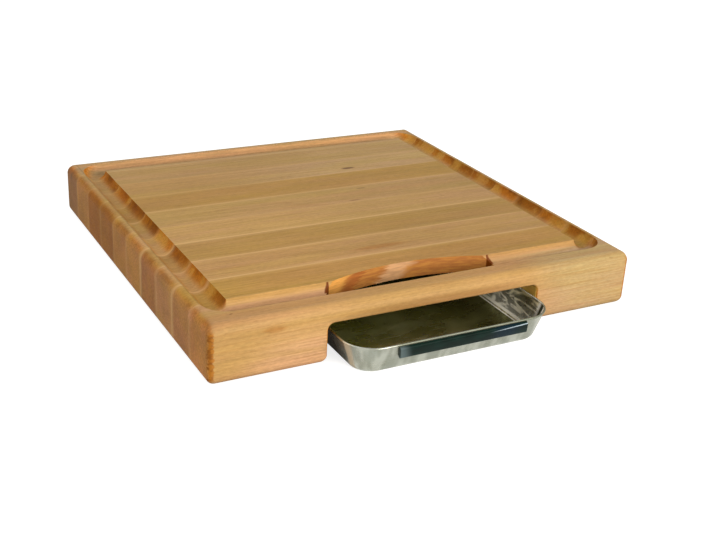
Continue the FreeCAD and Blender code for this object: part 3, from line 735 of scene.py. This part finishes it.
def film_and_painted_light(tree, place, spot, turned):
    """The share and the colour of the dull film, which carries the painted highlights and reflections."""
    left_facing, back_facing = turned.outputs["X"], turned.outputs["Y"]
    painted_highlights, scuffs_and_sheen = right_wall_highlights_and_scuffs(tree, place, spot, left_facing, back_facing)
    tint = mix_colours(tree, smooth_step(tree, scuffs_and_sheen, 0.05, 0.25), OLIVE_FILM, SCUFF_AND_SHEEN)
    tint = mix_colours(tree, smooth_step(tree, painted_highlights, 0.05, 0.30), tint, PAINTED_HIGHLIGHT_HAZE)
    outer_left = product(tree, smooth_step(tree, left_facing, -0.45, -0.70),
                         smooth_step(tree, spot.outputs["X"], -0.072, -0.080))
    corner_reflection = product(tree, band(tree, back_facing, -0.27, 0.08, 0.20), outer_left, 0.85)
    tint = mix_colours(tree, smooth_step(tree, corner_reflection, 0.02, 0.15), tint, CORNER_PAINTED_REFLECTION)
    thin = smooth_step(tree, stretched_noise(tree, place, (14, 22, 40), 2.0), 0.3, 0.7, 0.04, 0.07)
    return strongest(tree, painted_highlights, scuffs_and_sheen, thin, corner_reflection), tint


print("film ready")

# %% [markdown]
# Now the parts meet in one material. The brushing is a noise stretched over a hundredfold one way,
# and on the side walls it turns to run along them, as it does where each wall is polished along
# its length. It moves the tone, the roughness and a very low bump together, and the film lies on
# top of all three.

# %% The brushed steel


def brushed_steel(name):
    """Brushed along X on the floor and the front, and along Y on the side walls."""
    material, tree, shader = new_material(name)
    space = add_node(tree, "ShaderNodeTexCoord")
    place = space.outputs["Object"]
    spot = add_node(tree, "ShaderNodeSeparateXYZ", {0: place})
    turned = add_node(tree, "ShaderNodeSeparateXYZ", {0: space.outputs["Normal"]})
    side = smooth_step(tree, calculate(tree, "ABSOLUTE", turned.outputs["X"]), 0.5, 0.8)
    along_x = stretched_noise(tree, place, (9, 1300, 1300), 3.0, 0.6)
    along_y = stretched_noise(tree, place, (1300, 9, 1300), 3.0, 0.6)
    both_ways = add_node(tree, "ShaderNodeMix", {0: side, 2: along_x, 3: along_y}, data_type="FLOAT")
    brushing = both_ways.outputs[0]
    smears = stretched_noise(tree, place, (24, 40, 40), 3.0, 0.55)
    waves = stretched_noise(tree, place, (18, 30, 30), 1.0)
    scratches = smooth_step(tree, stretched_noise(tree, place, (30, 900, 400), 1.0), 0.70, 0.74)
    darker_rim = product(tree, smooth_step(tree, spot.outputs["Z"], 0.0278, 0.0288),
                       smooth_step(tree, spot.outputs["X"], -0.082, -0.060))
    tone = calculate(tree, "MULTIPLY_ADD", brushing, 0.5, product(tree, smears, 0.5))
    plug_in(tree, shader.inputs["Base Color"], steel_colour(tree, place, spot, turned, tone, darker_rim))

    roughness = smooth_step(tree, smears, 0.35, 0.7, 0.20, 0.34)
    for pattern, strength in ((brushing, 0.07), (scratches, 0.1), (darker_rim, 0.25)):
        roughness = calculate(tree, "MULTIPLY_ADD", pattern, strength, roughness)
    plug_in(tree, shader.inputs["Roughness"], roughness)
    fine = calculate(tree, "MULTIPLY_ADD", brushing, 0.00002, product(tree, scratches, -0.00003))
    height = calculate(tree, "MULTIPLY_ADD", waves, 0.0009, fine)
    bump = add_node(tree, "ShaderNodeBump", {"Strength": 1.0, "Distance": 1.0, "Height": height})
    plug_in(tree, shader.inputs["Normal"], bump.outputs["Normal"])
    shader.inputs["Metallic"].default_value = 1.0

    share, tint = film_and_painted_light(tree, place, spot, turned)
    film = add_node(tree, "ShaderNodeBsdfDiffuse", {"Color": tint, "Normal": bump.outputs["Normal"]})
    mixed = add_node(tree, "ShaderNodeMixShader", {0: share, 1: shader.outputs[0], 2: film.outputs[0]})
    output = next(node for node in tree.nodes if node.type == "OUTPUT_MATERIAL")
    plug_in(tree, output.inputs["Surface"], mixed.outputs[0])
    return material


def dress(piece, material, body, node):
    """Gives a finished piece its material and its place in the frame."""
    piece.data.materials.clear()
    piece.data.materials.append(material)
    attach(piece, body)
    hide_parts(node)
    print(piece.name, "rides on", body, "and stands for", node)


dress(tray, brushed_steel("brushed_steel"), "tray", "tray")

# %% [markdown]
# The grip is a slim bar of glossy plastic pressed on the leaning front wall, with its face edges
# rounded over. It starts as a cube brought to the bar's size, has its ends slanted and its edges
# bevelled, and is leaned back with the wall. A bevel wider than the bar is thick would fold over.

# %% Make the grip
GRIP_HEIGHT = 0.0136
GRIP_THICKNESS = 0.0030
GRIP_ROUND = 0.0022
GRIP_ROUND_STEPS = 7
GRIP_END_SLANT = 0.0013
GRIP_SMOOTH_ANGLE = 35
grip_low, grip_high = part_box("grip_strip")


def select_edges(mesh, is_wanted):
    """Selects the edges whose two ends pass a test; call it in edit mode."""
    bpy.ops.mesh.select_mode(type="EDGE")
    bpy.ops.mesh.select_all(action="DESELECT")
    bpy.ops.object.mode_set(mode="OBJECT")
    for edge in mesh.edges:
        edge.select = all(is_wanted(mesh.vertices[v].co) for v in edge.vertices)
    bpy.ops.object.mode_set(mode="EDIT")


def mould_grip():
    """A bar with a rounded face, leaned against the tray's front wall."""
    deselect_all()
    bpy.ops.mesh.primitive_cube_add(size=1.0)
    grip = bpy.context.object
    grip.name = grip.data.name = "front_grip"
    bpy.ops.object.mode_set(mode="EDIT")
    length = grip_high.x - grip_low.x - 2 * GRIP_END_SLANT
    bpy.ops.transform.resize(value=(length, GRIP_THICKNESS, GRIP_HEIGHT), center_override=(0, 0, 0))
    for side in (1, -1):
        select_edges(grip.data, lambda co: co.z * side > 0)
        bpy.ops.transform.translate(value=(-side * GRIP_END_SLANT, 0, 0))
    select_edges(grip.data, lambda co: co.y < 0 and co.z > 0)
    bpy.ops.mesh.bevel(offset=GRIP_ROUND, offset_type="OFFSET", segments=GRIP_ROUND_STEPS, affect="EDGES")
    select_edges(grip.data, lambda co: co.y < 0 and co.z < -GRIP_HEIGHT / 2 + WELD)
    bpy.ops.mesh.bevel(offset=GRIP_ROUND, offset_type="OFFSET", segments=GRIP_ROUND_STEPS, affect="EDGES")
    finish_mesh(grip, GRIP_SMOOTH_ANGLE)
    grip.data.transform(Matrix.Rotation(wall_tilt, 4, "X"))
    corners = [vertex.co for vertex in grip.data.vertices]
    middle = [(min(c[i] for c in corners) + max(c[i] for c in corners)) / 2 for i in range(3)]
    grip.data.transform(Matrix.Translation((grip_low + grip_high) / 2 - Vector(middle)))
    return grip


grip = mould_grip()

# %% [markdown]
# Moulded plastic is dark and glossy, yet never perfect: a faint ripple from the mould, hairline
# scratches along it, and a paler left end. A thin painted highlight runs along the right part of its
# upper edge. Place along the bar decides where each begins, so nothing repeats.

# %% The grip's plastic
PLASTIC_DARK = colour(6, 22, 16)
PLASTIC_LIGHT = colour(12, 36, 29)
PLASTIC_PALE_END = colour(88, 102, 102)
PLASTIC_BLUE = colour(13, 33, 46)
# Painted highlight colour for the grip's upper edge.
PLASTIC_PAINTED_HIGHLIGHT = colour(176, 192, 200)


def plastic_colour(tree, bloom, along, height):
    """Dark green plastic with a paler left end, a bluish patch and a painted highlight on the upper edge."""
    plastic = mix_colours(tree, smooth_step(tree, bloom, 0.35, 0.7), PLASTIC_DARK, PLASTIC_LIGHT)
    pale_end = smooth_step(tree, calculate(tree, "MULTIPLY_ADD", height, 0.4, along), grip_low.x + 0.0230,
                       grip_low.x + 0.0100)
    plastic = mix_colours(tree, product(tree, pale_end, 0.9), plastic, PLASTIC_PALE_END)
    bluish = product(tree, band(tree, along, 0.050, 0.004, 0.022), 0.7)
    plastic = mix_colours(tree, bluish, plastic, PLASTIC_BLUE)
    rising = calculate(tree, "MULTIPLY_ADD", along, 0.05, grip_high.z - 0.0052)
    above = calculate(tree, "SUBTRACT", height, rising)
    # A painted highlight line along the right part of the upper edge.
    edge = product(tree, band(tree, above, 0.0, 0.0002, 0.0007), smooth_step(tree, along, 0.030, 0.052))
    return mix_colours(tree, product(tree, edge, 0.8), plastic, PLASTIC_PAINTED_HIGHLIGHT)


def gloss_plastic(name):
    """Glossier to the right, rippled and scratched."""
    material, tree, shader = new_material(name)
    place = add_node(tree, "ShaderNodeTexCoord").outputs["Object"]
    spot = add_node(tree, "ShaderNodeSeparateXYZ", {0: place})
    along, height = spot.outputs["X"], spot.outputs["Z"]
    bloom = stretched_noise(tree, place, (45, 160, 160), 3.0)
    hairlines = smooth_step(tree, stretched_noise(tree, place, (25, 1800, 1800), 1.0), 0.62, 0.72)
    plug_in(tree, shader.inputs["Base Color"], plastic_colour(tree, bloom, along, height))
    roughness = calculate(tree, "MULTIPLY_ADD", bloom, 0.12, smooth_step(tree, along, 0.02, 0.05, 0.34, 0.10))
    plug_in(tree, shader.inputs["Roughness"], calculate(tree, "MULTIPLY_ADD", hairlines, 0.10, roughness))
    ripple = calculate(tree, "MULTIPLY_ADD", bloom, 0.4, product(tree, hairlines, -0.2))
    bump = add_node(tree, "ShaderNodeBump", {"Strength": 0.3, "Distance": 0.0002, "Height": ripple})
    plug_in(tree, shader.inputs["Normal"], bump.outputs["Normal"])
    shader.inputs["Specular IOR Level"].default_value = 0.06
    return material


dress(grip, gloss_plastic("gloss_plastic"), "tray", "grip_strip")

# %% [markdown]
# The object stands on a plain pale sweep. A white floor lit by lamps would need so much light that
# the wood would bleach, so the floor and the world show themselves white only to the eye and to
# reflections, and the lamps stay at the level where a colour looks as it was written. Under the
# board, where no light would reach, the floor is dark in reflections, or the tray would glow.

# %% Floor and world
FLOOR_REACH = 12.0
FLOOR_GREY = (0.45, 0.45, 0.445, 1.0)
FLOOR_GLOW = 0.80
FLOOR_GLOW_UNDER_BOARD = 0.02
SHADE_MIDDLE_Y = 0.010
SHADE_EDGE_X = (0.225, 0.215)
SHADE_EDGE_Y = (0.246, 0.212)
WORLD_LIGHT = 0.45


def eye_or_mirror(tree):
    """1 for what the camera sees, straight or by way of metal or glass, and 0 for light."""
    path = add_node(tree, "ShaderNodeLightPath")
    rays = [path.outputs[kind] for kind in ("Is Camera Ray", "Is Glossy Ray", "Is Transmission Ray")]
    return strongest(tree, *rays)


def lay_floor():
    """A wide floor that takes the shadow and looks pale, but darker in reflections under the board."""
    deselect_all()
    bpy.ops.mesh.primitive_plane_add(size=FLOOR_REACH)
    floor = bpy.context.object
    floor.name = "floor"
    material = bpy.data.materials.new("pale_floor")
    material.use_nodes = True
    tree = material.node_tree
    tree.nodes.clear()
    place = add_node(tree, "ShaderNodeTexCoord").outputs["Object"]
    spot = add_node(tree, "ShaderNodeSeparateXYZ", {0: place})
    under_x = smooth_step(tree, calculate(tree, "ABSOLUTE", spot.outputs["X"]), *SHADE_EDGE_X)
    from_middle = calculate(tree, "ABSOLUTE", calculate(tree, "SUBTRACT", spot.outputs["Y"], SHADE_MIDDLE_Y))
    under = product(tree, under_x, smooth_step(tree, from_middle, *SHADE_EDGE_Y))
    path = add_node(tree, "ShaderNodeLightPath")
    shaded = product(tree, under, path.outputs["Is Glossy Ray"])
    glowing = smooth_step(tree, shaded, 0.0, 1.0, FLOOR_GLOW, FLOOR_GLOW_UNDER_BOARD)
    seen = product(tree, eye_or_mirror(tree), glowing)
    matt = add_node(tree, "ShaderNodeBsdfDiffuse", {"Color": FLOOR_GREY})
    glow = add_node(tree, "ShaderNodeEmission", {"Strength": seen})
    both = add_node(tree, "ShaderNodeAddShader", {0: matt.outputs[0], 1: glow.outputs[0]})
    add_node(tree, "ShaderNodeOutputMaterial", {"Surface": both.outputs[0]})
    floor.data.materials.append(material)


def light_world():
    """A world that looks white and gives an even, weaker light."""
    world = bpy.data.worlds.new("studio")
    bpy.context.scene.world = world
    world.use_nodes = True
    tree = world.node_tree
    tree.nodes.clear()
    strength = smooth_step(tree, eye_or_mirror(tree), 0.0, 1.0, WORLD_LIGHT, 1.0)
    back = add_node(tree, "ShaderNodeBackground", {"Color": (1.0, 1.0, 1.0, 1.0), "Strength": strength})
    add_node(tree, "ShaderNodeOutputWorld", {"Surface": back.outputs[0]})


lay_floor()
light_world()
print("floor and world ready")

# %% [markdown]
# Two large soft lamps do the rest. One stands in front and a little to the right, low enough to
# make the front of the board its brightest side; the other stands off to the left and a little
# behind, and lifts the end grain and the top.

# %% Lamps


def soft_lamp(name, place, aim, size, power, tint):
    """A square area lamp at a place, facing a point."""
    deselect_all()
    bpy.ops.object.light_add(type="AREA", location=place)
    lamp = bpy.context.object
    lamp.name = name
    lamp.rotation_euler = (Vector(aim) - Vector(place)).to_track_quat("-Z", "Y").to_euler()
    lamp.data.size = size
    lamp.data.energy = power
    lamp.data.color = tint
    print(name, "at", place, power, "W")


soft_lamp("front_lamp", (0.55, -2.4, 0.86), aim=(0, 0, 0.03), size=1.2, power=70, tint=(1.0, 0.96, 0.91))
soft_lamp("side_lamp", (-1.7, 0.4, 1.7), aim=(0, 0, 0), size=1.6, power=20, tint=(1.0, 0.98, 0.95))

# %% [markdown]
# The camera looks down from the front left. Two of its axes are given as directions in the room,
# because they say at once what it sees as right and as ahead. Up is square to both, so it follows.

# %% Camera
CAMERA_PLACE = Vector((-0.53507, -1.00926, 0.49367))
CAMERA_RIGHT = Vector((0.88302, -0.46666, 0.05014))
CAMERA_AHEAD = Vector((0.44533, 0.79931, -0.40347))
SENSOR_WIDTH_MM = 36.0
LENS_MM = 57.17


def set_camera():
    """Makes the camera from its place and its axes and lets the scene use it."""
    data = bpy.data.cameras.new("camera")
    data.sensor_fit = "HORIZONTAL"
    data.sensor_width = SENSOR_WIDTH_MM
    data.lens = LENS_MM
    camera = bpy.data.objects.new("camera", data)
    bpy.context.scene.collection.objects.link(camera)
    ahead = CAMERA_AHEAD.normalized()
    right = (CAMERA_RIGHT - CAMERA_RIGHT.dot(ahead) * ahead).normalized()
    up = right.cross(ahead)
    turn = Matrix((right, up, -ahead)).transposed()
    camera.matrix_world = Matrix.Translation(CAMERA_PLACE) @ turn.to_4x4()
    bpy.context.scene.camera = camera
    bpy.context.scene.view_settings.view_transform = "Standard"
    print("camera at", tuple(CAMERA_PLACE))


set_camera()
